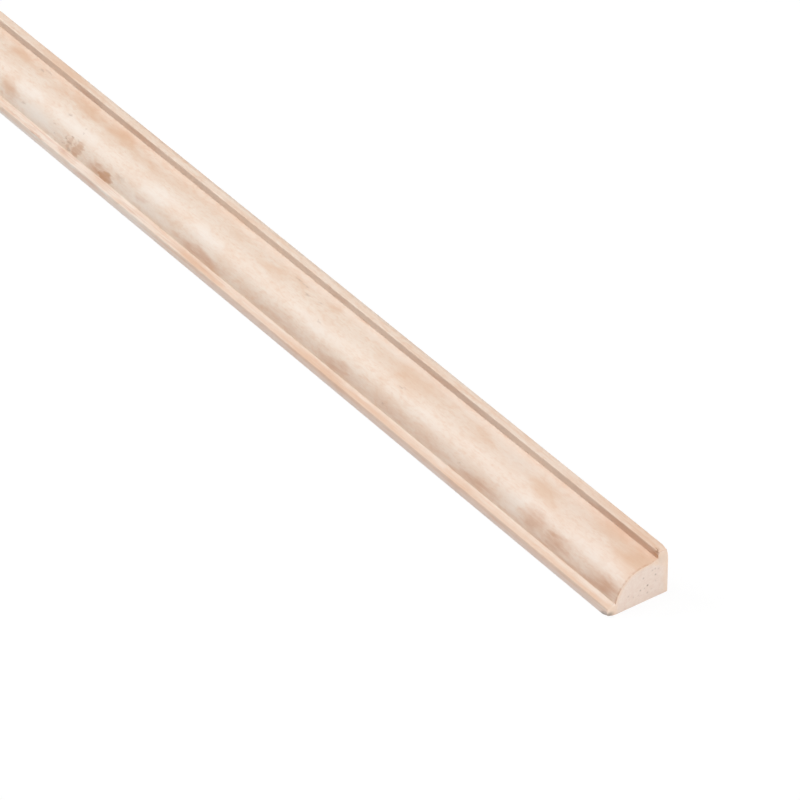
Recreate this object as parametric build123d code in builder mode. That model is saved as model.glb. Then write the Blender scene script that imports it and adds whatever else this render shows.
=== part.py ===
from build123d import *
import os
from math import sqrt

# Floor trim: one strip of light hardwood, moulded along its length and sawn square at both ends.
# It lies on the floor with its flat back to the wall. X runs along the strip, +Y faces the wall and
# +Z is up. The origin is under the middle of the strip, on the floor.

# Stock size
stock_length = 2400.0
section_width = 21.0  # from the wall out over the floor
section_height = 15.0  # from the floor up the wall

# Moulded face, from the wall down to the floor
ledge_width = 3.15  # flat left along the top of the back
riser_height = 2.6  # step down from the ledge to the shelf
ovolo_radius = 10.5  # quarter round that runs off the shelf
toe_width = 2.8  # strip left along the floor edge, in front of the round
toe_height = 3.6  # top of the toe where the round lands on it
toe_front_height = 3.2  # the top falls a little towards its front edge

# Arrises, eased by the cutter and by sanding
wall_arris_radius = 0.4
ledge_arris_radius = 0.3
toe_arris_radius = 0.4
floor_arris_radius = 0.4

# Places in the section, across from the middle of the strip and up from the floor
wall_y = section_width / 2
front_y = -section_width / 2
riser_y = wall_y - ledge_width
shelf_z = section_height - riser_height
toe_y = front_y + toe_width

# The round leaves the shelf level and ends on the inner edge of the toe
ovolo_drop = shelf_z - toe_height
ovolo_reach = sqrt(ovolo_radius**2 - (ovolo_radius - ovolo_drop) ** 2)
shelf_end_y = toe_y + ovolo_reach

with BuildPart() as floor_trim:
    with BuildSketch(Plane.YZ):
        with BuildLine():
            flats = Polyline(
                (shelf_end_y, shelf_z),
                (riser_y, shelf_z),
                (riser_y, section_height),
                (wall_y, section_height),
                (wall_y, 0),
                (front_y, 0),
                (front_y, toe_front_height),
                (toe_y, toe_height),
            )
            TangentArc(flats @ 0, flats @ 1, tangent=(-1, 0))
        make_face()
    extrude(amount=stock_length / 2, both=True)

    arrises = floor_trim.edges().filter_by(Axis.X)
    ledge_arris, wall_arris = arrises.group_by(Axis.Z)[-1].sort_by(Axis.Y)
    floor_arris, toe_arris = arrises.group_by(Axis.Y)[0].sort_by(Axis.Z)
    fillet(ledge_arris, ledge_arris_radius)
    fillet(wall_arris, wall_arris_radius)
    fillet(floor_arris, floor_arris_radius)
    fillet(toe_arris, toe_arris_radius)

floor_trim.part.label = "floor_trim"

os.makedirs("parts", exist_ok=True)
export_step(floor_trim.part, "parts/floor_trim.step")
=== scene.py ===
import bmesh
import bpy
import math
from mathutils import Matrix, Vector


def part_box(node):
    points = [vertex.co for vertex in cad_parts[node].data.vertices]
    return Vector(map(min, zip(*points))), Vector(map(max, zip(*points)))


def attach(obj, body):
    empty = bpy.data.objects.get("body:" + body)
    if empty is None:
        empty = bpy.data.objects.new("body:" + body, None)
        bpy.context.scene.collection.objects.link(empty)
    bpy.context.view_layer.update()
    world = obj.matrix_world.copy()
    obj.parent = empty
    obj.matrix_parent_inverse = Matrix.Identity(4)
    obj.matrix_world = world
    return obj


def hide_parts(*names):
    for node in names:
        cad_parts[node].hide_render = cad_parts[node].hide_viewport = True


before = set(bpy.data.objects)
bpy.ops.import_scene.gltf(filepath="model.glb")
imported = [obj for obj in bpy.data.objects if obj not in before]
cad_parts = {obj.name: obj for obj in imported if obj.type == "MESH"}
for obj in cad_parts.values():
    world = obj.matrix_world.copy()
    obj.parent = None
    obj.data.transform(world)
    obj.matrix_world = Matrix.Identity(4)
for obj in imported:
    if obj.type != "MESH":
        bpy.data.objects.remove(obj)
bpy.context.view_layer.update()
stripLow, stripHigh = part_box("floor_trim")
mm = 0.001
nearX = stripHigh.x  # the sawn end that faces the camera
wallY, frontY = stripHigh.y, stripLow.y
topZ = stripHigh.z
stripLength = stripHigh.x - stripLow.x
print("frame loaded, strip of", round(stripLength, 3), "m")


def linear(hexColour):  # sRGB hex to linear RGBA
    parts = [int(hexColour[i:i + 2], 16) / 255 for i in (1, 3, 5)]
    return tuple(c / 12.92 if c <= 0.04045 else ((c + 0.055) / 1.055) ** 2.4 for c in parts) + (1.0,)


def addNode(tree, kind, inputs=None, **settings):  # a node with its settings, values and links
    node = tree.nodes.new(kind)
    for name, value in settings.items():
        setattr(node, name, value)
    for key, value in (inputs or {}).items():
        if isinstance(value, bpy.types.NodeSocket):
            tree.links.new(value, node.inputs[key])
        else:
            node.inputs[key].default_value = value
    return node


def emptied(owner):  # the node tree of a material or world, with nothing in it
    owner.use_nodes = True
    owner.node_tree.nodes.clear()
    return owner.node_tree


def towards(azimuth, elevation):  # direction in degrees round from the front and up
    turn, up = math.radians(azimuth), math.radians(elevation)
    return Vector((math.sin(turn) * math.cos(up), -math.cos(turn) * math.cos(up), math.sin(up)))


# Section of the moulding, in millimetres across from the wall face and up from the floor

trim = {
    "ledgeWidth": 3.15,
    "riserHeight": 2.6,
    "ovoloRadius": 10.5,
    "toeWidth": 2.8,
    "toeHeight": 3.6,
    "toeFrontHeight": 3.2,
    "wallArris": 0.4,
    "ledgeArris": 0.3,
    "toeArris": 0.4,
    "floorArris": 0.4,
    "heelArris": 0.15,  # back edge on the floor, left nearly sharp
    "arrisSteps": 6,
    "heelSteps": 3,
    "ovoloSteps": 44,
    "support": 0.12,  # keeps the flats flat beside an eased edge
    "spacing": 1.2,  # longest gap between section points on the flats
    "rings": 300,
    "crowding": 2.0,  # power by which the rings gather at both ends
    "capRings": (0.985, 0.96, 0.92, 0.87, 0.8, 0.7, 0.58, 0.4),  # scales of the rings inside a sawn end
    "heart": (0.6, 5.4),  # from the wall and up, a point that sees the whole outline
    "endEase": 0.14,  # sawn ends, lightly sanded
    "sharpAngle": 38,  # degrees, a bend past this stays a crisp corner
    "sideLook": 0.3,  # a face that looks sideways at least this much belongs to the run
    "endLook": 0.9,  # and along the run this much, to a sawn end
    "flatLook": 0.99,  # or to the flat of it
}

# Knocks on the near end, in mm: place from that end, from the wall and up, then how far each reaches and
# which way the wood gives
knocks = [
    {"place": (0.0, 0.0, 15.0), "reach": 2.8, "pull": (-0.35, -0.18, -0.38)},
    {"place": (0.0, 21.0, 0.2), "reach": 2.6, "pull": (-0.35, 0.3, 0.35)},
    {"place": (0.5, 3.15, 15.0), "reach": 1.3, "pull": (-0.05, 0.2, -0.3)},
    {"place": (0.0, 3.4, 12.8), "reach": 3.0, "pull": (-0.7, 0.0, 0.0)},
]


def easedCorner(before, corner, after, radius, steps):
    back = (before - corner).normalized()
    onward = (after - corner).normalized()
    half = back.angle(onward) / 2
    centre = corner + (back + onward).normalized() * (radius / math.sin(half))
    start = (corner + back * (radius / math.tan(half)) - centre).normalized()
    end = (corner + onward * (radius / math.tan(half)) - centre).normalized()
    return [centre + start.slerp(end, k / steps) * radius for k in range(steps + 1)]


def flatBetween(start, end):
    length = (end - start).length
    support = min(trim["support"], length / 3)
    middle = max(1, math.ceil((length - 2 * support) / trim["spacing"]))
    places = [support + (length - 2 * support) * k / middle for k in range(middle + 1)]
    return [start.lerp(end, place / length) for place in places]


def ovoloReach():  # mm from the centre of the round out to where it lands on the toe
    radius = trim["ovoloRadius"]
    drop = topZ / mm - trim["riserHeight"] - trim["toeHeight"]
    return math.sqrt(radius ** 2 - (radius - drop) ** 2)


def sectionOutline():
    width, height = (wallY - frontY) / mm, topZ / mm
    shelfZ = height - trim["riserHeight"]
    toeY = width - trim["toeWidth"]
    radius, reach = trim["ovoloRadius"], ovoloReach()
    centre = Vector((toeY - reach, shelfZ - radius))
    landing = math.atan2(trim["toeHeight"] - centre.y, reach)
    heel, wallTop = Vector((0, 0)), Vector((0, height))
    ledgeFront = Vector((trim["ledgeWidth"], height))
    riserFoot = Vector((trim["ledgeWidth"], shelfZ))
    toeInner = Vector((toeY, trim["toeHeight"]))
    toeFront, floorFront = Vector((width, trim["toeFrontHeight"])), Vector((width, 0))
    steps = trim["arrisSteps"]
    ovolo = []
    for k in range(trim["ovoloSteps"] + 1):
        turn = math.pi / 2 + (landing - math.pi / 2) * k / trim["ovoloSteps"]
        ovolo.append(centre + radius * Vector((math.cos(turn), math.sin(turn))))
    stretches = [
        easedCorner(floorFront, heel, wallTop, trim["heelArris"], trim["heelSteps"]),
        easedCorner(heel, wallTop, ledgeFront, trim["wallArris"], steps),
        easedCorner(wallTop, ledgeFront, riserFoot, trim["ledgeArris"], steps),
        [riserFoot],
        ovolo,
        easedCorner(toeInner, toeFront, floorFront, trim["toeArris"], steps),
        easedCorner(toeFront, floorFront, heel, trim["floorArris"], steps),
    ]
    outline = []
    for stretch, following in zip(stretches, stretches[1:] + stretches[:1]):
        outline += stretch
        outline += flatBetween(stretch[-1], following[0])
    return [(wallY - p.x * mm, p.y * mm) for p in outline]


def stripTree(sideMaterial, endMaterial):
    tree = bpy.data.node_groups.new("mouldedStrip", "GeometryNodeTree")
    tree.interface.new_socket("Section", in_out="INPUT", socket_type="NodeSocketGeometry")
    sizes = {
        "Length": ("NodeSocketFloat", stripLength),
        "Rings": ("NodeSocketInt", trim["rings"]),
        "End Ease": ("NodeSocketFloat", trim["endEase"] * mm),
        "Side Material": ("NodeSocketMaterial", sideMaterial),
        "End Material": ("NodeSocketMaterial", endMaterial),
    }
    keys = {}
    for name, (kind, value) in sizes.items():
        socket = tree.interface.new_socket(name, in_out="INPUT", socket_type=kind)
        keys[socket.identifier] = value
    tree.interface.new_socket("Strip", in_out="OUTPUT", socket_type="NodeSocketGeometry")
    given = addNode(tree, "NodeGroupInput").outputs

    # the section, with the way round it kept for the UV map
    outline = addNode(tree, "GeometryNodeMeshToCurve", {"Mesh": given["Section"]})
    wayRound = addNode(tree, "GeometryNodeSplineParameter")
    outline = addNode(tree, "GeometryNodeStoreNamedAttribute", {
        "Geometry": outline.outputs["Curve"], "Name": "around", "Value": wayRound.outputs["Length"]},
        data_type="FLOAT", domain="POINT")

    # the run, with rings crowding towards both ends
    line = addNode(tree, "GeometryNodeCurvePrimitiveLine", {"Start": (0, 0, 0), "End": (1, 0, 0)})
    line = addNode(tree, "GeometryNodeResampleCurve", {
        "Curve": line.outputs["Curve"], "Count": given["Rings"]})
    share = addNode(tree, "GeometryNodeSplineParameter").outputs["Factor"]
    side = addNode(tree, "ShaderNodeMath", {0: share, 1: 2.0, 2: -1.0}, operation="MULTIPLY_ADD").outputs[0]
    inside = addNode(tree, "ShaderNodeMath", {0: side}, operation="ABSOLUTE").outputs[0]
    inside = addNode(tree, "ShaderNodeMath", {0: 1.0, 1: inside}, operation="SUBTRACT").outputs[0]
    inside = addNode(tree, "ShaderNodeMath", {0: inside, 1: trim["crowding"]}, operation="POWER").outputs[0]
    outward = addNode(tree, "ShaderNodeMath", {0: 1.0, 1: inside}, operation="SUBTRACT").outputs[0]
    sign = addNode(tree, "ShaderNodeMath", {0: side}, operation="SIGN").outputs[0]
    outward = addNode(tree, "ShaderNodeMath", {0: outward, 1: sign}, operation="MULTIPLY").outputs[0]
    halfLength = addNode(tree, "ShaderNodeMath", {
        0: given["Length"], 1: 0.5}, operation="MULTIPLY").outputs[0]
    alongX = addNode(tree, "ShaderNodeMath", {0: outward, 1: halfLength}, operation="MULTIPLY").outputs[0]
    place = addNode(tree, "ShaderNodeCombineXYZ", {"X": alongX})
    line = addNode(tree, "GeometryNodeSetPosition", {
        "Geometry": line.outputs[0], "Position": place.outputs[0]})
    line = addNode(tree, "GeometryNodeSetCurveNormal", {"Curve": line.outputs[0]}, mode="Z_UP")
    line = addNode(tree, "GeometryNodeSetCurveTilt", {"Curve": line.outputs[0], "Tilt": math.pi})
    swept = addNode(tree, "GeometryNodeCurveToMesh", {
        "Curve": line.outputs[0], "Profile Curve": outline.outputs[0], "Fill Caps": True}).outputs[0]

    # eased end edges: the section draws in over the last fraction of a millimetre
    normal = addNode(tree, "GeometryNodeInputNormal").outputs[0]
    position = addNode(tree, "GeometryNodeInputPosition").outputs[0]
    placeX = addNode(tree, "ShaderNodeSeparateXYZ", {0: position}).outputs["X"]
    farX = addNode(tree, "ShaderNodeMath", {0: placeX}, operation="ABSOLUTE").outputs[0]
    depth = addNode(tree, "ShaderNodeMath", {0: halfLength, 1: farX}, operation="SUBTRACT").outputs[0]
    depth = addNode(tree, "ShaderNodeMath", {
        0: depth, 1: given["End Ease"]}, operation="DIVIDE", use_clamp=True)
    rise = addNode(tree, "ShaderNodeMath", {0: 1.0, 1: depth.outputs[0]}, operation="SUBTRACT").outputs[0]
    rise = addNode(tree, "ShaderNodeMath", {0: rise, 1: 2.0}, operation="POWER").outputs[0]
    rise = addNode(tree, "ShaderNodeMath", {0: 1.0, 1: rise}, operation="SUBTRACT").outputs[0]
    rise = addNode(tree, "ShaderNodeMath", {0: rise}, operation="SQRT").outputs[0]
    give = addNode(tree, "ShaderNodeMath", {0: rise, 1: 1.0}, operation="SUBTRACT").outputs[0]
    give = addNode(tree, "ShaderNodeMath", {0: give, 1: given["End Ease"]}, operation="MULTIPLY").outputs[0]
    across = addNode(tree, "ShaderNodeVectorMath", {0: normal, 1: (0, 1, 1)}, operation="MULTIPLY").outputs[0]
    slant = addNode(tree, "ShaderNodeVectorMath", {0: across}, operation="LENGTH").outputs["Value"]
    onSide = addNode(tree, "ShaderNodeMath", {
        0: slant, 1: trim["sideLook"]}, operation="GREATER_THAN").outputs[0]
    give = addNode(tree, "ShaderNodeMath", {0: give, 1: onSide}, operation="MULTIPLY").outputs[0]
    across = addNode(tree, "ShaderNodeVectorMath", {0: across}, operation="NORMALIZE").outputs[0]
    offset = addNode(tree, "ShaderNodeVectorMath", {0: across, "Scale": give}, operation="SCALE").outputs[0]
    swept = addNode(tree, "GeometryNodeSetPosition", {"Geometry": swept, "Offset": offset}).outputs[0]

    # rings inside each sawn end, so that a knock stays local
    normalX = addNode(tree, "ShaderNodeSeparateXYZ", {0: normal}).outputs["X"]
    lookX = addNode(tree, "ShaderNodeMath", {0: normalX}, operation="ABSOLUTE").outputs[0]
    onEnd = addNode(tree, "FunctionNodeCompare", {
        "A": lookX, "B": trim["endLook"]}, operation="GREATER_THAN").outputs[0]
    sawn = addNode(tree, "FunctionNodeCompare", {
        "A": lookX, "B": trim["flatLook"]}, operation="GREATER_THAN").outputs[0]
    heart = addNode(tree, "ShaderNodeCombineXYZ", {
        "X": placeX, "Y": wallY - trim["heart"][0] * mm, "Z": trim["heart"][1] * mm}).outputs[0]
    chosen, kept = sawn, 1.0
    for scale in trim["capRings"]:
        inset = addNode(tree, "GeometryNodeExtrudeMesh", {
            "Mesh": swept, "Selection": chosen, "Offset Scale": 0.0, "Individual": True}, mode="FACES")
        swept = addNode(tree, "GeometryNodeScaleElements", {
            "Geometry": inset.outputs["Mesh"], "Selection": inset.outputs["Top"],
            "Scale": scale / kept, "Center": heart}, domain="FACE").outputs[0]
        chosen, kept = inset.outputs["Top"], scale

    # knocks, each giving most at its own place and fading out at its reach
    offset = (0.0, 0.0, 0.0)
    for knock in knocks:
        along, fromWall, up = knock["place"]
        spot = (nearX - along * mm, wallY - fromWall * mm, up * mm)
        gap = addNode(tree, "ShaderNodeVectorMath", {
            0: position, 1: spot}, operation="DISTANCE").outputs["Value"]
        share = addNode(tree, "ShaderNodeMapRange", {
            "Value": gap, "From Min": knock["reach"] * mm, "From Max": 0.0}, interpolation_type="SMOOTHSTEP")
        pull = tuple(part * mm for part in knock["pull"])
        dent = addNode(tree, "ShaderNodeVectorMath", {0: pull, "Scale": share.outputs[0]}, operation="SCALE")
        offset = addNode(tree, "ShaderNodeVectorMath", {
            0: offset, 1: dent.outputs[0]}, operation="ADD").outputs[0]
    worn = addNode(tree, "GeometryNodeSetPosition", {"Geometry": swept, "Offset": offset}).outputs[0]

    # smooth faces, split where the moulding has a true corner
    worn = addNode(tree, "GeometryNodeSetShadeSmooth", {
        "Geometry": worn, "Shade Smooth": True}, domain="FACE")
    bend = addNode(tree, "GeometryNodeInputMeshEdgeAngle").outputs["Unsigned Angle"]
    corner = addNode(tree, "FunctionNodeCompare", {
        "A": bend, "B": math.radians(trim["sharpAngle"])}, operation="GREATER_THAN").outputs[0]
    worn = addNode(tree, "GeometryNodeSetShadeSmooth", {
        "Geometry": worn.outputs[0], "Selection": corner, "Shade Smooth": False}, domain="EDGE")
    done = addNode(tree, "GeometryNodeRealizeInstances", {"Geometry": worn.outputs[0]})
    done = addNode(tree, "GeometryNodeSetMaterial", {
        "Geometry": done.outputs[0], "Material": given["Side Material"]})
    done = addNode(tree, "GeometryNodeSetMaterial", {
        "Geometry": done.outputs[0], "Selection": onEnd, "Material": given["End Material"]})
    addNode(tree, "NodeGroupOutput", {"Strip": done.outputs[0]})
    return tree, keys


# Map that the finish is baked on: the run in a few lengths, side by side, and the two ends above them, so
# that the wood bakes sharp

bakeMap = {
    "lengths": 6,
    "gap": 1.5,  # mm left free round each
    "endZoom": 2.0,  # sawn ends, drawn larger
    "spill": 9.0,  # mm, a ring may lie this far past a cut between lengths
}


def layOutBakeMap(mesh):
    lengths, endZoom = bakeMap["lengths"], bakeMap["endZoom"]
    gap, spill = bakeMap["gap"] * mm, bakeMap["spill"] * mm
    around = [value.value for value in mesh.attributes["around"].data]
    outline = [Vector(p) for p in sectionOutline()]
    girth = max(around) + (outline[0] - outline[-1]).length
    run = stripLength / lengths
    side = max(run + 2 * spill, lengths * (girth + 2 * gap) + endZoom * (topZ + 2 * gap))
    layer = mesh.uv_layers.new(name="OFBake")
    for face in mesh.polygons:
        isEnd = mesh.materials[face.material_index].name.startswith("sawn")
        length = min(lengths - 1, int((face.center.x - stripLow.x) / run))
        corners = [mesh.loops[i].vertex_index for i in face.loop_indices]
        wraps = max(around[i] for i in corners) > girth * 0.75  # it may cross the start of the way round
        for loop, vertex in zip(face.loop_indices, corners):
            co = mesh.vertices[vertex].co
            if isEnd:
                shift = 0 if co.x > 0 else endZoom * (wallY - frontY) + 4 * gap
                u = gap + shift + endZoom * (wallY - co.y)
                v = lengths * (girth + 2 * gap) + gap + endZoom * co.z
            else:
                turn = around[vertex]
                if wraps and turn < girth * 0.25:
                    turn += girth
                u = spill + co.x - stripLow.x - length * run
                v = gap + length * (girth + 2 * gap) + turn
            layer.data[loop].uv = (u / side, v / side)


# Planed light hardwood: cream with a pink cast, tan where the grain turns into the surface; browner painted
# shade on the riser, at the foot of the round and over the toe, painted shade along the floor edge, the back
# top edge and the end of the round, and painted highlight along the middle of the round; a low satin shine
# follows the round

wood = {
    "cream": "#f6e3d2",
    # pale wood, and also painted highlight along the middle of the round and painted light in a few places
    "pale": "#faefe4",
    "tan": "#e2b48f",
    "brown": "#cd9773",
    "knot": "#c4895a",
    "fleck": "#a07a5e",
    "rose": "#e6bdab",
    "blush": "#efcdbc",
    # painted shade, browner: on the riser, at the foot of the round and over the toe
    "paintedShade": "#dec9ba",
    # painted shade along the edge on the floor
    "floorShade": "#e5d6d2",
    # painted shade, dark grey: at the knocked bottom corner of the near end and along the wall's top edge
    "edgeShade": "#857a72",
    "roughness": 0.46,
    "ior": 1.55,
    "lean": 0.4,  # mm that the figure runs along for each mm down the round
    "wander": {"stray": (4.0, 1.3, 1.3), "fray": (1.2, 0.45, 0.45)},  # mm by which the edge of a mark strays
    "noiseGain": 4,  # noise keeps within about a quarter either side of its middle
    "frayed": ("knot", "fleck", "edgeShade", "vein"),  # marks with a finer edge
    "rippleDepth": 0.1,  # mm, left by the cutter
    "speckSpacing": (10.0, 6.25, 6.25),  # mm
    "specks": (0.1, 0.05, 0.35),  # from and to, as shares of the spacing, and the most of it
    "fibrous": (0.6, 1.1),  # least and most of a brown mark or knot between its fibres
    "riserShade": (0.5, 0.9),  # least and most of the painted shade along the riser
    "streakBoost": (1.0, 1.1),  # streaks on the ledge and back, and on the toe and its front
    "patterns": {  # mm along, mm across, detail and distortion
        "stray": (9.0, 3.4, 3.0, 0.0),
        "fray": (2.4, 1.1, 2.0, 0.0),
        "cloud": (11.0, 4.0, 2.0, 0.6),
        "mottle": (2.6, 1.3, 3.0, 0.3),
        "silk": (5.0, 0.5, 2.0, 0.2),
        "patch": (24.0, 7.0, 2.0, 0.6),
        "fibre": (6.0, 0.9, 2.0, 0.0),
        "gleam": (18.0, 0.9, 3.0, 0.2),
        "grain": (1.8, 0.45, 2.0, 0.0),
        "thread": (12.0, 0.55, 2.0, 0.2),
        "streak": (26.0, 1.2, 3.0, 0.3),  # drawn coarser than the real grain, which is too fine to show
        "ripple": (14.0, 6.0, 2.0, 0.0),
        # how the painted shade along the riser varies along the run
        "riserShadeNoise": (34.0, 30.0, 2.0, 0.0),
    },
    "straight": ("thread", "streak", "gleam", "ripple", "riserShadeNoise"),  # patterns that don't lean
    "shares": {  # pattern: from, to and the most of it
        "cloud": (0.42, 0.72, 0.22),
        "mottle": (0.45, 0.80, 0.36),
        "silk": (0.42, 0.75, 0.16),
        "patch": (0.50, 0.68, 0.55),
        "gleam": (0.48, 0.68, 0.55),
        "grain": (0.50, 0.78, 0.30),
        "thread": (0.50, 0.72, 0.36),
        "streak": (0.42, 0.72, 0.40),
        "fibre": (0.30, 0.62, 1.0),
        "riserShadeNoise": (0.35, 0.65, 1.0),
    },
    "amounts": {  # tint of a whole face or edge: the most of it
        # painted shade along the last of the round at the sawn end
        "lipShade": 0.5,
        "blush": 0.2,
        "floorShade": 0.5,
        # painted shade at the foot of the round, near the sawn end
        "low": 0.12,
        # painted shade over the toe; its outer half gets more painted shade, its inner half painted light
        "toe": 0.2,
        "toeOuter": 0.42,
        "toeInner": 0.3,
    },
}

# Marks near the sawn end: mm from that end, mm round the face from the wall's top edge, half length, half
# width, strength, softness of the edge and colour
figure = [
    (3, 10.6, 9, 6.0, 0.64, 0.8, "tan"),
    (17, 8.0, 11, 3.4, 0.42, 0.9, "tan"),
    (44, 12.4, 8, 3.4, 0.50, 0.8, "tan"),
    (75, 11.6, 8, 2.6, 0.20, 0.9, "tan"),
    (109, 10.6, 16, 4.4, 0.42, 0.9, "tan"),
    (153, 8.8, 4, 1.6, 0.45, 0.8, "tan"),
    (170, 8.9, 6, 1.2, 0.35, 0.9, "tan"),
    (184, 11.8, 11, 2.2, 0.32, 0.9, "tan"),
    (203, 10.8, 5, 2.2, 0.28, 0.9, "tan"),
    (234, 9.8, 9, 2.8, 0.25, 0.9, "tan"),
    (253, 10.8, 9, 2.8, 0.32, 0.9, "tan"),
    (270, 9.4, 10.0, 3.0, 0.70, 0.85, "tan"),
    (289, 9.2, 13.0, 2.8, 0.58, 0.85, "tan"),
    (304, 10.0, 5, 3.2, 0.35, 0.9, "tan"),
    (328, 8.8, 8, 3.0, 0.60, 0.8, "tan"),
    (321, 19.8, 5, 3.0, 0.50, 0.8, "tan"),
    (16, 1.6, 32, 3.0, 0.22, 0.9, "tan"),
    (312, 1.6, 18, 3.0, 0.50, 0.9, "tan"),
    (72, 26.8, 9, 1.8, 0.50, 0.9, "tan"),
    (140, 26.8, 26, 1.8, 0.50, 0.9, "tan"),
    (207, 26.8, 13, 2.0, 0.75, 0.8, "tan"),
    (265, 26.6, 6, 1.8, 0.50, 0.8, "tan"),
    (283, 26.6, 4, 1.8, 0.45, 0.8, "tan"),
    (5, 22.8, 9, 2.8, 0.62, 0.9, "brown"),
    (30, 21.4, 7, 2.2, 0.62, 0.9, "brown"),
    (40, 21.2, 6, 3.6, 0.52, 0.9, "brown"),
    (24, 24.4, 26, 1.2, 0.50, 0.9, "brown"),
    (67, 23.4, 10, 2.6, 0.55, 0.8, "brown"),
    (75, 24.2, 5, 1.2, 0.40, 0.6, "brown"),
    (90, 22.6, 12, 2.8, 0.20, 0.9, "brown"),
    (111, 22.8, 12, 2.6, 0.28, 0.9, "brown"),
    (136, 23.2, 12, 2.6, 0.52, 0.9, "brown"),
    (168, 23.0, 20, 2.8, 0.28, 0.9, "brown"),
    (209, 23.4, 13, 2.6, 0.58, 0.8, "brown"),
    (243.5, 22.0, 2.2, 1.4, 0.35, 0.9, "brown"),
    (269, 22.8, 5, 2.2, 0.45, 0.7, "brown"),
    (319, 21.0, 5, 2.8, 0.28, 0.8, "brown"),
    (263, 23.3, 4.2, 2.0, 0.66, 0.30, "knot"),
    (267.0, 22.8, 3.6, 2.0, 0.34, 0.5, "knot"),
    (279.9, 22.2, 2.6, 3.1, 0.50, 0.40, "knot"),
    (284.4, 22.2, 1.6, 2.7, 0.36, 0.4, "knot"),
    (286.4, 20.9, 1.1, 0.6, 0.40, 0.8, "knot"),
    (1.2, 3.3, 1.5, 0.7, 0.60, 0.6, "knot"),
    (2.0, 4.4, 1.8, 1.0, 0.50, 0.7, "knot"),
    (2.2, 4.4, 2.6, 1.4, 0.60, 0.8, "burn"),
    (14, 4.4, 22, 1.6, 0.46, 0.8, "burn"),
    (103, 4.4, 24, 1.6, 0.28, 0.9, "burn"),
    (157, 4.4, 6, 1.6, 0.25, 0.9, "burn"),
    (264, 4.4, 11, 1.6, 0.40, 0.9, "burn"),
    (296, 4.4, 7, 1.6, 0.35, 0.9, "burn"),
    (108, 29.2, 120, 2.4, 0.28, 0.3, "rose"),
    (267, 29.2, 9, 2.4, 0.34, 0.8, "rose"),
    # pale marks along the middle of the round: painted highlight where the sheen runs brighter
    (14, 17.6, 14, 2.0, 0.45, 0.9, "pale"),
    (49, 19.8, 4, 4.0, 0.50, 0.9, "pale"),
    (97, 17.4, 8, 1.8, 0.35, 0.9, "pale"),
    (152, 17.2, 13, 2.4, 0.50, 0.9, "pale"),
    (211, 17.2, 9, 3.2, 0.60, 0.9, "pale"),
    (239, 17.2, 11, 2.6, 0.55, 0.9, "pale"),
    (284, 16.8, 16, 2.8, 0.65, 0.9, "pale"),
    (311, 17.0, 9, 2.4, 0.55, 0.9, "pale"),
    # pale marks on the lower round towards the far end: painted light
    (304, 22.2, 15, 3.4, 0.75, 0.9, "pale"),
    (242, 22.6, 16, 2.6, 0.50, 0.9, "pale"),
    (272, 26.7, 52, 1.8, 0.80, 0.6, "pale"),
    (8, 26.5, 9, 1.4, 0.50, 0.8, "pale"),
    # pale marks on the front towards the far end: painted light
    (240, 29.8, 16, 1.7, 0.85, 0.8, "pale"),
    (304, 29.8, 26, 1.7, 0.95, 0.8, "pale"),
    (60, 9.0, 11, 4.0, 0.40, 0.9, "pale"),
    # pale mark on the shelf beside the foot of the riser: painted light
    (130, 7.0, 92, 2.2, 0.45, 0.8, "pale"),
    (81.5, 25.4, 3, 0.8, 0.60, 0.8, "pale"),
    (0.9, 2.9, 1.0, 0.5, 0.60, 0.7, "fleck"),
    (0.9, 2.0, 0.8, 0.3, 0.35, 0.8, "fleck"),
    (109.4, 15.2, 0.9, 0.4, 0.45, 0.8, "fleck"),
    (110.6, 15.4, 0.8, 0.3, 0.35, 0.8, "fleck"),
    (164, 11.4, 1.6, 0.5, 0.35, 0.9, "fleck"),
    (168, 9.2, 1.6, 0.4, 0.35, 0.9, "fleck"),
    (172, 8.9, 2.0, 0.3, 0.35, 0.9, "fleck"),
    (157.5, 10.6, 1.0, 0.4, 0.30, 0.9, "fleck"),
    (152, 15.8, 0.8, 0.3, 0.30, 0.9, "fleck"),
    (75.7, 21.6, 0.8, 0.5, 0.30, 0.9, "fleck"),
    (112.1, 22.6, 0.8, 0.5, 0.35, 0.9, "fleck"),
    (256, 20.4, 2.6, 0.9, 0.18, 0.9, "fleck"),
    (286.8, 21.4, 0.8, 0.35, 0.40, 0.8, "fleck"),
    (283.8, 20.0, 0.7, 0.35, 0.35, 0.8, "fleck"),
    (280.8, 19.5, 0.7, 0.4, 0.35, 0.8, "fleck"),
    (287.2, 23.4, 0.6, 0.35, 0.30, 0.8, "fleck"),
    (283.6, 24.1, 0.9, 0.4, 0.45, 0.8, "fleck"),
    (284.4, 22.0, 0.9, 0.4, 0.35, 0.8, "fleck"),
    (281.6, 15.1, 0.6, 0.4, 0.35, 0.9, "fleck"),
    (281.0, 16.8, 0.6, 0.3, 0.25, 0.9, "fleck"),
    (291.6, 15.0, 0.8, 0.4, 0.40, 0.9, "fleck"),
    (294.4, 20.2, 0.8, 0.4, 0.30, 0.9, "fleck"),
    (292.7, 22.8, 0.7, 0.5, 0.30, 0.9, "fleck"),
    (315.4, 7.6, 1.4, 0.6, 0.40, 0.9, "fleck"),
    (317.5, 8.8, 1.2, 0.5, 0.45, 0.9, "fleck"),
    (312.2, 21.4, 1.0, 0.5, 0.35, 0.9, "fleck"),
    # painted shade: at the knocked bottom corner of the near end, then along the wall's top edge
    (1.2, 30.6, 2.6, 1.2, 0.75, 0.7, "edgeShade"),
    (190, 0.2, 150, 0.8, 0.14, 0.6, "edgeShade"),
    (298.6, 27.5, 6.0, 0.6, 0.55, 0.8, "vein"),
    (286, 26.3, 3.4, 0.6, 0.50, 0.8, "vein"),
    (303, 26.6, 4.0, 0.5, 0.35, 0.8, "vein"),
    (315, 27.1, 4.0, 0.5, 0.35, 0.8, "vein"),
]


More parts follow.
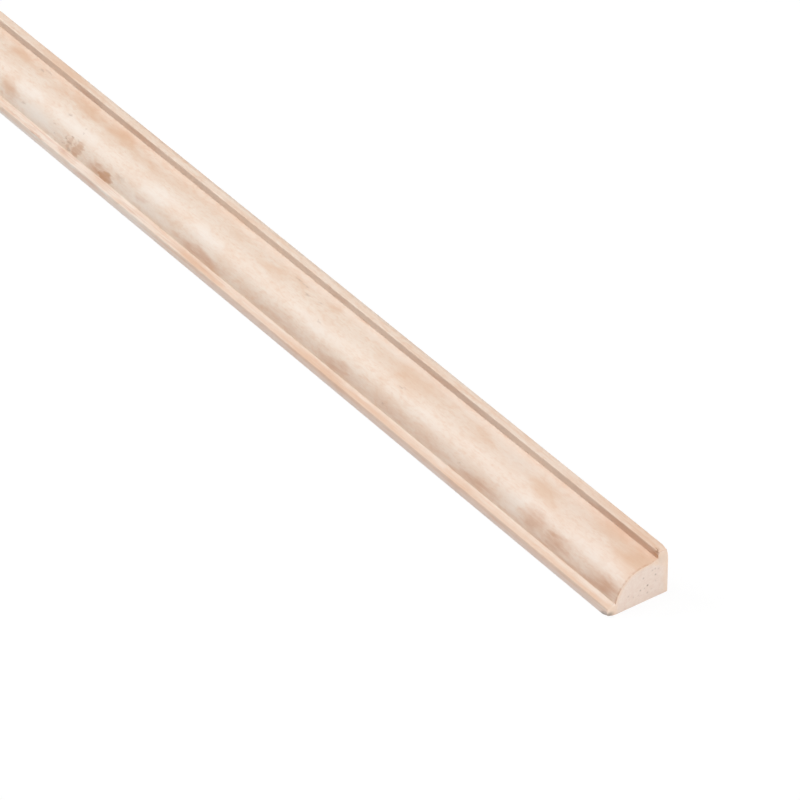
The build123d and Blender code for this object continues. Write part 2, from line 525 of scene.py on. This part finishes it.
def roundTheFace(way):  # the point of the section that lies this many mm round from the wall's top edge
    outline = [Vector(p) / mm for p in sectionOutline()]
    topEdge = Vector((wallY, topZ)) / mm
    start = min(range(len(outline)), key=lambda k: (outline[k] - topEdge).length)
    walked = 0.0
    for here, there in zip(outline[start:], outline[start + 1:]):
        step = (there - here).length
        if walked + step >= way:
            return here.lerp(there, (way - walked) / step)
        walked += step
    return outline[-1]


def planedHardwood():
    material = bpy.data.materials.new("planed light hardwood")
    tree = emptied(material)
    place = addNode(tree, "ShaderNodeTexCoord").outputs["Object"]
    inMm = addNode(tree, "ShaderNodeVectorMath", {0: place, "Scale": 1 / mm}, operation="SCALE").outputs[0]
    axis = addNode(tree, "ShaderNodeSeparateXYZ", {0: inMm}).outputs
    shift = addNode(tree, "ShaderNodeMath", {0: axis["Z"], 1: -wood["lean"]}, operation="MULTIPLY").outputs[0]
    shift = addNode(tree, "ShaderNodeCombineXYZ", {"X": shift}).outputs[0]
    leaning = addNode(tree, "ShaderNodeVectorMath", {0: inMm, 1: shift}, operation="ADD").outputs[0]
    noise = {}
    for name, (along, across, detail, distortion) in wood["patterns"].items():
        stretched = addNode(tree, "ShaderNodeVectorMath", {
            0: inMm if name in wood["straight"] else leaning,
            1: (1 / along, 1 / across, 1 / across)}, operation="MULTIPLY")
        noise[name] = addNode(tree, "ShaderNodeTexNoise", {
            "Vector": stretched.outputs[0], "Scale": 1.0, "Detail": detail, "Distortion": distortion}).outputs
    share = {}
    for name, (low, high, most) in wood["shares"].items():
        share[name] = addNode(tree, "ShaderNodeMapRange", {
            "Value": noise[name]["Fac"], "From Min": low, "From Max": high, "To Max": most},
            interpolation_type="SMOOTHSTEP").outputs[0]

    # where the faces lie, so that each keeps its own tint
    riserY = wallY / mm - trim["ledgeWidth"]
    ramps = {  # axis, from and to in mm
        "riserFront": ("Y", riserY - 0.1, riserY - 0.02),
        "riserBack": ("Y", riserY + 0.4, riserY + 0.2),
        "riserTop": ("Z", topZ / mm - 0.1, topZ / mm - 0.5),
        "belowLedge": ("Y", riserY + 0.1, riserY - 0.1),
        "aboveToe": ("Z", trim["toeHeight"] - 0.05, trim["toeHeight"] + 0.15),
        "foot": ("Z", 8.5, 4.0),
        "outer": ("Y", -2.0, -4.0),
        "front": ("Y", frontY / mm + 0.35, frontY / mm + 0.05),
        "toeTop": ("Z", trim["toeHeight"] + 0.15, trim["toeHeight"] - 0.05),
        "toeAbove": ("Z", trim["toeFrontHeight"] - 0.6, trim["toeFrontHeight"] - 0.2),
        "toeOuter": ("Y", frontY / mm + 1.9, frontY / mm + 0.7),  # half of the toe by its front edge, tan, as painted shade
        "toeInner": ("Y", frontY / mm + 1.4, frontY / mm + 2.6),  # half of the toe by the round, paler, as painted light
        "lipShade": ("X", nearX / mm - 0.8, nearX / mm - 0.2),  # the last of the round, darkened as painted shade along the sawn end
        "blush": ("X", nearX / mm - 130, nearX / mm - 5),  # the wood is pinker towards this end
        "floorShade": ("Z", 2.2, 0.7),  # painted shade along the edge on the floor
        "far": ("X", nearX / mm - 120, nearX / mm - 240),  # the toe is paler and more streaked from here
        "beyond": ("X", nearX / mm - 332, nearX / mm - 400),  # past the length that the photo shows
    }
    on = {}
    for name, (letter, low, high) in ramps.items():
        on[name] = addNode(tree, "ShaderNodeMapRange", {
            "Value": axis[letter], "From Min": low, "From Max": high}).outputs[0]
    perSpeck = tuple(1 / spacing for spacing in wood["speckSpacing"])
    cell = addNode(tree, "ShaderNodeVectorMath", {0: inMm, 1: perSpeck}, operation="MULTIPLY").outputs[0]
    cell = addNode(tree, "ShaderNodeTexVoronoi", {"Vector": cell, "Scale": 1.0}).outputs["Distance"]
    edge, full, most = wood["specks"]
    specks = addNode(tree, "ShaderNodeMapRange", {
        "Value": cell, "From Min": edge, "From Max": full, "To Max": most}).outputs[0]
    products = {  # parts that are multiplied together
        "riser": (on["riserFront"], on["riserBack"], on["riserTop"]),
        "round": (on["belowLedge"], on["aboveToe"]),
        "low": (on["foot"], on["aboveToe"], on["outer"]),
        "toe": (on["toeTop"], on["toeAbove"], on["outer"]),
        "patch": (share["patch"], on["beyond"]),
        "scorch": (share["patch"], on["beyond"], on["foot"]),
        "specks": (specks, on["beyond"]),
    }
    for name, (first, *others) in products.items():
        for other in others:
            first = addNode(tree, "ShaderNodeMath", {0: first, 1: other}, operation="MULTIPLY").outputs[0]
        on[name] = first

    # listed marks, over patches and specks past the length that the photo shows
    course = {}
    for name, reach in wood["wander"].items():
        stray = addNode(tree, "ShaderNodeVectorMath", {
            0: noise[name]["Color"], 1: (0.5, 0.5, 0.5)}, operation="SUBTRACT").outputs[0]
        reach = tuple(wood["noiseGain"] * part for part in reach)
        course[name] = addNode(tree, "ShaderNodeVectorMath", {
            0: stray, 1: reach, 2: leaning}, operation="MULTIPLY_ADD").outputs[0]
    marks = {
        "pale": 0.0, "tan": on["patch"], "brown": on["scorch"], "knot": 0.0, "burn": 0.0,
        "rose": on["patch"], "fleck": on["specks"], "edgeShade": 0.0, "vein": 0.0,
    }
    for fromEnd, way, halfLength, halfWidth, strength, soft, tone in figure:
        spot = roundTheFace(way)
        size = Vector((1 / halfLength, 1 / halfWidth, 1 / halfWidth))
        centre = Vector((nearX / mm - fromEnd - wood["lean"] * spot.y, spot.x, spot.y))
        follows = course["fray" if tone in wood["frayed"] else "stray"]
        gap = addNode(tree, "ShaderNodeVectorMath", {
            0: follows, 1: size, 2: -size * centre}, operation="MULTIPLY_ADD").outputs[0]
        gap = addNode(tree, "ShaderNodeVectorMath", {0: gap}, operation="LENGTH").outputs["Value"]
        mark = addNode(tree, "ShaderNodeMapRange", {
            "Value": gap, "From Min": 1 + soft / 2, "From Max": 1 - soft, "To Max": strength},
            interpolation_type="SMOOTHSTEP").outputs[0]
        marks[tone] = addNode(tree, "ShaderNodeMath", {
            0: marks[tone], 1: mark}, operation="MAXIMUM").outputs[0]

    # each mark and share is kept to its own faces
    toeFront = addNode(tree, "ShaderNodeMath", {0: on["toe"], 1: on["front"]}, operation="MAXIMUM").outputs[0]
    unevenBy = {"fibrous": share["fibre"], "riserShade": share["riserShadeNoise"], "streakBoost": toeFront}
    uneven = {}
    for name, value in unevenBy.items():
        least, most = wood[name]
        uneven[name] = addNode(tree, "ShaderNodeMapRange", {
            "Value": value, "To Min": least, "To Max": most}).outputs[0]
    fibrous = uneven["fibrous"]
    plain = addNode(tree, "ShaderNodeMath", {0: 1.0, 1: on["round"]}, operation="SUBTRACT").outputs[0]
    offToe = addNode(tree, "ShaderNodeMath", {0: 1.0, 1: on["toe"]}, operation="SUBTRACT").outputs[0]
    nearby = addNode(tree, "ShaderNodeMath", {0: 1.0, 1: on["far"]}, operation="SUBTRACT").outputs[0]
    amounts = wood["amounts"]
    masks = {  # parts that are multiplied together
        "brown": (marks["brown"], on["aboveToe"], fibrous),
        "knot": (marks["knot"], on["aboveToe"], fibrous),
        "burn": (marks["burn"], on["riser"]),
        "rose": (marks["rose"], on["front"]),
        # painted shade along the last of the round at the sawn end
        "lipShade": (on["lipShade"], on["round"], share["fibre"], amounts["lipShade"]),
        "gleam": (share["gleam"], on["toe"]),
        "blush": (on["blush"], offToe, amounts["blush"]),
        "thread": (share["thread"], on["toe"], on["far"]),
        # painted shade along the edge on the floor, on the riser, at the foot of the round, over the toe and
        # on its outer half; painted light on its inner half
        "floorShade": (on["floorShade"], on["front"], amounts["floorShade"]),
        "paintedShade": (uneven["riserShade"], on["riser"]),
        "low": (on["low"], nearby, amounts["low"]),
        "toe": (on["toe"], amounts["toe"]),
        "toeOuter": (on["toeOuter"], on["toe"], nearby, amounts["toeOuter"]),
        "toeInner": (on["toeInner"], on["toe"], nearby, amounts["toeInner"]),
        "streak": (share["streak"], uneven["streakBoost"], plain),
    }
    for name, (first, *others) in masks.items():
        for other in others:
            first = addNode(tree, "ShaderNodeMath", {0: first, 1: other}, operation="MULTIPLY").outputs[0]
        marks[name] = first

    colour = linear(wood["cream"])
    layers = (  # from the bottom up
        (share["cloud"], "tan"), (share["mottle"], "tan"), (share["silk"], "tan"), (share["grain"], "tan"),
        (marks["blush"], "blush"), (marks["pale"], "pale"), (marks["tan"], "tan"), (marks["rose"], "rose"),
        (marks["gleam"], "pale"), (marks["streak"], "tan"), (marks["thread"], "brown"),
        (marks["vein"], "brown"), (marks["toeOuter"], "tan"), (marks["toeInner"], "pale"),
        # painted shade in several of these layers: the floor edge, the riser, the foot of the round, the toe,
        # the end of the round and the knocked corners
        (marks["floorShade"], "floorShade"), (marks["paintedShade"], "paintedShade"), (marks["low"], "paintedShade"),
        (marks["toe"], "paintedShade"), (marks["burn"], "brown"), (marks["brown"], "brown"),
        (marks["lipShade"], "brown"), (marks["knot"], "knot"), (marks["fleck"], "fleck"),
        (marks["edgeShade"], "edgeShade"))
    for amount, tone in layers:  # sockets 6 and 7 are the two colours
        colour = addNode(tree, "ShaderNodeMix", {
            "Factor": amount, 6: colour, 7: linear(wood[tone])}, data_type="RGBA").outputs[2]
    bump = addNode(tree, "ShaderNodeBump", {
        "Strength": 1.0, "Distance": wood["rippleDepth"] * mm, "Height": noise["ripple"]["Fac"]}).outputs[0]
    shader = addNode(tree, "ShaderNodeBsdfPrincipled", {
        "Base Color": colour, "Roughness": wood["roughness"], "IOR": wood["ior"], "Normal": bump})
    addNode(tree, "ShaderNodeOutputMaterial", {"Surface": shader.outputs[0]})
    return material


# Sawn end grain: duller and greyer than the planed faces, tan along the sanded rim, with a few open pores,
# and painted shade at the knocked bottom corner

endWood = {
    "face": "#eedccf",
    "ring": "#e4cbbc",
    "rim": "#efd3ba",
    # painted shade at the knocked bottom corner
    "pore": "#9a7f6d",
    "edgeShade": "#857a72",
    "roughness": 0.65,
    "ior": 1.5,
    "rimWidth": 1.3,  # mm, along the round
    "backWidth": 2.8,  # mm, along the wall
    "ringSpacing": 3.4,  # mm
    "ringWobble": 9.0,  # radians by which a growth ring strays
    "pith": (38.0, -16.0),  # mm across from the strip's middle and up from the floor, well outside it
    "mottleSize": (2.4, 0.8),  # mm
    "rimPatches": (0.3, 0.7, 0.5, 1.2),  # noise from and to, and the rim's least and most
    "poreRadius": 0.5,  # mm, wider than the real pores so that they show
    # painted shade at the knocked bottom corner of the near end
    "shadedToeCorner": (20.2, 0.3, 2.2, 0.9),  # mm from the wall, mm up, radius and strength
    "sawLines": (1.0, 0.4, 6.667),  # mm along, across and up
    "sawDepth": 0.03,  # mm
}

# Open pores on the near end: mm from the wall, mm up, strength
pores = [
    (7.1, 5.3, 0.9), (4.4, 7.9, 0.6), (9.6, 4.6, 0.6), (8.6, 8.4, 0.45), (4.5, 10.0, 0.35), (3.4, 9.5, 0.3),
    (5.5, 9.8, 0.3), (7.1, 2.8, 0.4), (8.2, 4.7, 0.3), (13.8, 4.4, 0.35), (12.0, 3.3, 0.25), (4.3, 5.7, 0.25),
    (5.7, 3.5, 0.2), (10.3, 3.2, 0.2),
]


def sawnEndGrain():
    material = bpy.data.materials.new("sawn end grain")
    tree = emptied(material)
    place = addNode(tree, "ShaderNodeTexCoord").outputs["Object"]
    inMm = addNode(tree, "ShaderNodeVectorMath", {0: place, "Scale": 1 / mm}, operation="SCALE").outputs[0]
    axis = addNode(tree, "ShaderNodeSeparateXYZ", {0: inMm}).outputs
    broad, fine = (addNode(tree, "ShaderNodeTexNoise", {
        "Vector": inMm, "Scale": 1 / size, "Detail": 3.0}).outputs["Fac"] for size in endWood["mottleSize"])

    # faint growth rings about a pith outside the strip, and the tan rim along the round and the wall
    away = {}
    roundY = frontY / mm + trim["toeWidth"] + ovoloReach()
    roundZ = topZ / mm - trim["riserHeight"] - trim["ovoloRadius"]
    centres = {"pith": endWood["pith"], "round": (roundY, roundZ)}
    for name, (across, up) in centres.items():
        flat = addNode(tree, "ShaderNodeVectorMath", {
            0: inMm, 1: (0.0, 1.0, 1.0), 2: (0.0, -across, -up)}, operation="MULTIPLY_ADD").outputs[0]
        away[name] = addNode(tree, "ShaderNodeVectorMath", {0: flat}, operation="LENGTH").outputs["Value"]
    turn = addNode(tree, "ShaderNodeMath", {
        0: away["pith"], 1: 2 * math.pi / endWood["ringSpacing"]}, operation="MULTIPLY").outputs[0]
    turn = addNode(tree, "ShaderNodeMath", {
        0: broad, 1: endWood["ringWobble"], 2: turn}, operation="MULTIPLY_ADD").outputs[0]
    wave = addNode(tree, "ShaderNodeMath", {0: turn}, operation="SINE").outputs[0]
    spans = {  # value, from, to and the most of it
        "ring": (wave, -0.4, 1.0, 0.16),
        "broad": (broad, 0.4, 0.75, 0.5),
        "fine": (fine, 0.4, 0.75, 0.5),
        "round": (away["round"], trim["ovoloRadius"] - endWood["rimWidth"], trim["ovoloRadius"] - 0.1, 0.7),
        "back": (axis["Y"], wallY / mm - endWood["backWidth"], wallY / mm - 0.6, 0.5),
        "neck": (axis["Z"], topZ / mm - trim["riserHeight"] - 0.8, topZ / mm - 1.2, 0.55),
    }
    share = {}
    for name, (value, low, high, most) in spans.items():
        share[name] = addNode(tree, "ShaderNodeMapRange", {
            "Value": value, "From Min": low, "From Max": high, "To Max": most},
            interpolation_type="SMOOTHSTEP").outputs[0]
    rim = addNode(tree, "ShaderNodeMath", {
        0: share["round"], 1: share["back"]}, operation="MAXIMUM").outputs[0]
    rim = addNode(tree, "ShaderNodeMath", {0: rim, 1: share["neck"]}, operation="MAXIMUM").outputs[0]
    low, high, least, most = endWood["rimPatches"]
    uneven = addNode(tree, "ShaderNodeMapRange", {
        "Value": broad, "From Min": low, "From Max": high, "To Min": least, "To Max": most}).outputs[0]
    rim = addNode(tree, "ShaderNodeMath", {0: rim, 1: uneven}, operation="MULTIPLY").outputs[0]

    # open pores, and painted shade at the knocked toe of the near end
    spots = [(fromWall, up, endWood["poreRadius"], strength, "pore") for fromWall, up, strength in pores]
    spots.append((*endWood["shadedToeCorner"], "edgeShade"))
    dark = {"pore": 0.0, "edgeShade": 0.0}
    for fromWall, up, radius, strength, tone in spots:
        spot = (nearX / mm, wallY / mm - fromWall, up)
        gap = addNode(tree, "ShaderNodeVectorMath", {0: inMm, 1: spot}, operation="DISTANCE").outputs["Value"]
        spotShare = addNode(tree, "ShaderNodeMapRange", {
            "Value": gap, "From Min": radius, "From Max": 0.0, "To Max": strength},
            interpolation_type="SMOOTHSTEP").outputs[0]
        dark[tone] = addNode(tree, "ShaderNodeMath", {
            0: dark[tone], 1: spotShare}, operation="MAXIMUM").outputs[0]
    colour = linear(endWood["face"])
    layers = (
        (share["broad"], "ring"), (share["fine"], "ring"), (share["ring"], "ring"), (rim, "rim"),
        (dark["pore"], "pore"), (dark["edgeShade"], "edgeShade"))
    for amount, tone in layers:
        colour = addNode(tree, "ShaderNodeMix", {
            "Factor": amount, 6: colour, 7: linear(endWood[tone])}, data_type="RGBA").outputs[2]
    perLine = tuple(1 / size for size in endWood["sawLines"])
    upright = addNode(tree, "ShaderNodeVectorMath", {0: inMm, 1: perLine}, operation="MULTIPLY").outputs[0]
    sawn = addNode(tree, "ShaderNodeTexNoise", {
        "Vector": upright, "Scale": 1.0, "Detail": 2.0}).outputs["Fac"]
    sawn = addNode(tree, "ShaderNodeMath", {0: sawn, 1: dark["pore"]}, operation="SUBTRACT").outputs[0]
    bump = addNode(tree, "ShaderNodeBump", {
        "Strength": 1.0, "Distance": endWood["sawDepth"] * mm, "Height": sawn}).outputs[0]
    shader = addNode(tree, "ShaderNodeBsdfPrincipled", {
        "Base Color": colour, "Roughness": endWood["roughness"], "IOR": endWood["ior"], "Normal": bump})
    addNode(tree, "ShaderNodeOutputMaterial", {"Surface": shader.outputs[0]})
    return material


def makeStrip():
    section = bpy.data.meshes.new("section")
    outline = sectionOutline()
    count = len(outline)
    edges = [(k, (k + 1) % count) for k in range(count)]
    section.from_pydata([(y, z, 0) for y, z in outline], edges, [])
    maker = bpy.data.objects.new("sectionMaker", section)
    bpy.context.scene.collection.objects.link(maker)
    tree, keys = stripTree(planedHardwood(), sawnEndGrain())
    modifier = maker.modifiers.new("strip", "NODES")
    modifier.node_group = tree
    for key, value in keys.items():
        modifier[key] = value
    depsgraph = bpy.context.evaluated_depsgraph_get()
    mesh = bpy.data.meshes.new_from_object(maker.evaluated_get(depsgraph), depsgraph=depsgraph)
    bpy.data.objects.remove(maker)
    work = bmesh.new()
    work.from_mesh(mesh)
    bmesh.ops.recalc_face_normals(work, faces=work.faces)
    work.to_mesh(mesh)
    work.free()
    mesh.name = "floorTrim"
    layOutBakeMap(mesh)
    strip = bpy.data.objects.new("floorTrim", mesh)
    bpy.context.scene.collection.objects.link(strip)
    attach(strip, "root")
    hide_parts("floor_trim")
    print("strip made,", count, "section points,", len(mesh.polygons), "faces")


makeStrip()

# Studio: white all round, a soft key from the left, a broad fill on the sawn end

studio = {
    "ambient": 0.1,
    "floorBounce": 0.94,
    "floorHalf": 60.0,  # m, half the side of the floor
    "glow": 1.02,  # a little past 1, so that the floor shows white
    "shadowShare": 0.1,  # how much of the strip's shadow the white floor keeps
    "lamps": {  # degrees round from the front and up, level on a white card, width of the source
        "keyHigh": (-64, 46, 0.18, 18),
        "keyLow": (-51, 31, 0.185, 18),
        "above": (-82, 76, 0.34, 30),
        "side": (90, 25, 0.50, 30),
        "behind": (160, 18, 0.12, 40),
    },
}


def whiteForCamera(tree):
    ray = addNode(tree, "ShaderNodeLightPath").outputs
    seen = addNode(tree, "ShaderNodeMath", {
        0: ray["Is Camera Ray"], 1: ray["Is Glossy Ray"]}, operation="MAXIMUM")
    return addNode(tree, "ShaderNodeMath", {
        0: seen.outputs[0], 1: ray["Is Transmission Ray"]}, operation="MAXIMUM").outputs[0]


def makeStudio():
    world = bpy.data.worlds.new("studio")
    tree = emptied(world)
    seen = whiteForCamera(tree)
    level = addNode(tree, "ShaderNodeMapRange", {
        "Value": seen, "To Min": studio["ambient"], "To Max": 1.0}).outputs[0]
    sky = addNode(tree, "ShaderNodeBackground", {"Color": (1, 1, 1, 1), "Strength": level})
    addNode(tree, "ShaderNodeOutputWorld", {"Surface": sky.outputs[0]})
    bpy.context.scene.world = world

    material = bpy.data.materials.new("white studio floor")
    tree = emptied(material)
    seen = whiteForCamera(tree)
    bounce = studio["floorBounce"]
    card = addNode(tree, "ShaderNodeBsdfDiffuse", {"Color": (bounce, bounce, bounce, 1)})
    paper = addNode(tree, "ShaderNodeBsdfDiffuse", {"Color": (1, 1, 1, 1)})
    glow = addNode(tree, "ShaderNodeEmission", {"Color": (1, 1, 1, 1), "Strength": studio["glow"]})
    shown = addNode(tree, "ShaderNodeMixShader", {
        0: 1 - studio["shadowShare"], 1: paper.outputs[0], 2: glow.outputs[0]})
    floorMix = addNode(tree, "ShaderNodeMixShader", {0: seen, 1: card.outputs[0], 2: shown.outputs[0]})
    addNode(tree, "ShaderNodeOutputMaterial", {"Surface": floorMix.outputs[0]})
    half = studio["floorHalf"]
    corners = [(-half, -half, 0), (half, -half, 0), (half, half, 0), (-half, half, 0)]
    mesh = bpy.data.meshes.new("floor")
    mesh.from_pydata(corners, [], [(0, 1, 2, 3)])
    mesh.materials.append(material)
    floor = bpy.data.objects.new("floor", mesh)
    bpy.context.scene.collection.objects.link(floor)

    for name, (azimuth, elevation, level, width) in studio["lamps"].items():
        lamp = bpy.data.lights.new(name, "SUN")
        lamp.energy = math.pi * level
        lamp.angle = math.radians(width)
        holder = bpy.data.objects.new(name, lamp)
        holder.rotation_euler = towards(azimuth, elevation).to_track_quat("Z", "Y").to_euler()
        bpy.context.scene.collection.objects.link(holder)
    print("studio lit")


makeStudio()

# Camera: a long lens, from the front right and above

view = {
    "azimuth": 55.168,
    "elevation": 35.889,
    "roll": 0.718,
    "lens": 223.04,
    "sensor": 36,
    "clip": (0.05, 200),  # m
    "cornerFromLens": (74.481, -53.215, 1380.506),  # near back floor corner: mm right, up and ahead
}


def makeCamera():
    camera = bpy.data.cameras.new("camera")
    camera.lens = view["lens"]
    camera.sensor_width = view["sensor"]
    camera.clip_start, camera.clip_end = view["clip"]
    turn = math.radians(view["azimuth"])
    back = towards(view["azimuth"], view["elevation"])
    right = Vector((math.cos(turn), math.sin(turn), 0))
    above = back.cross(right)
    axes = Matrix((right, above, back)).transposed() @ Matrix.Rotation(math.radians(-view["roll"]), 3, "Z")
    across, upward, ahead = (part * mm for part in view["cornerFromLens"])
    corner = Vector((nearX, wallY, 0))
    holder = bpy.data.objects.new("camera", camera)
    lensPlace = corner - axes @ Vector((across, upward, -ahead))
    holder.matrix_world = Matrix.Translation(lensPlace) @ axes.to_4x4()
    bpy.context.scene.collection.objects.link(holder)
    bpy.context.scene.camera = holder
    bpy.context.scene.view_settings.view_transform = "Standard"


makeCamera()
print("camera set")
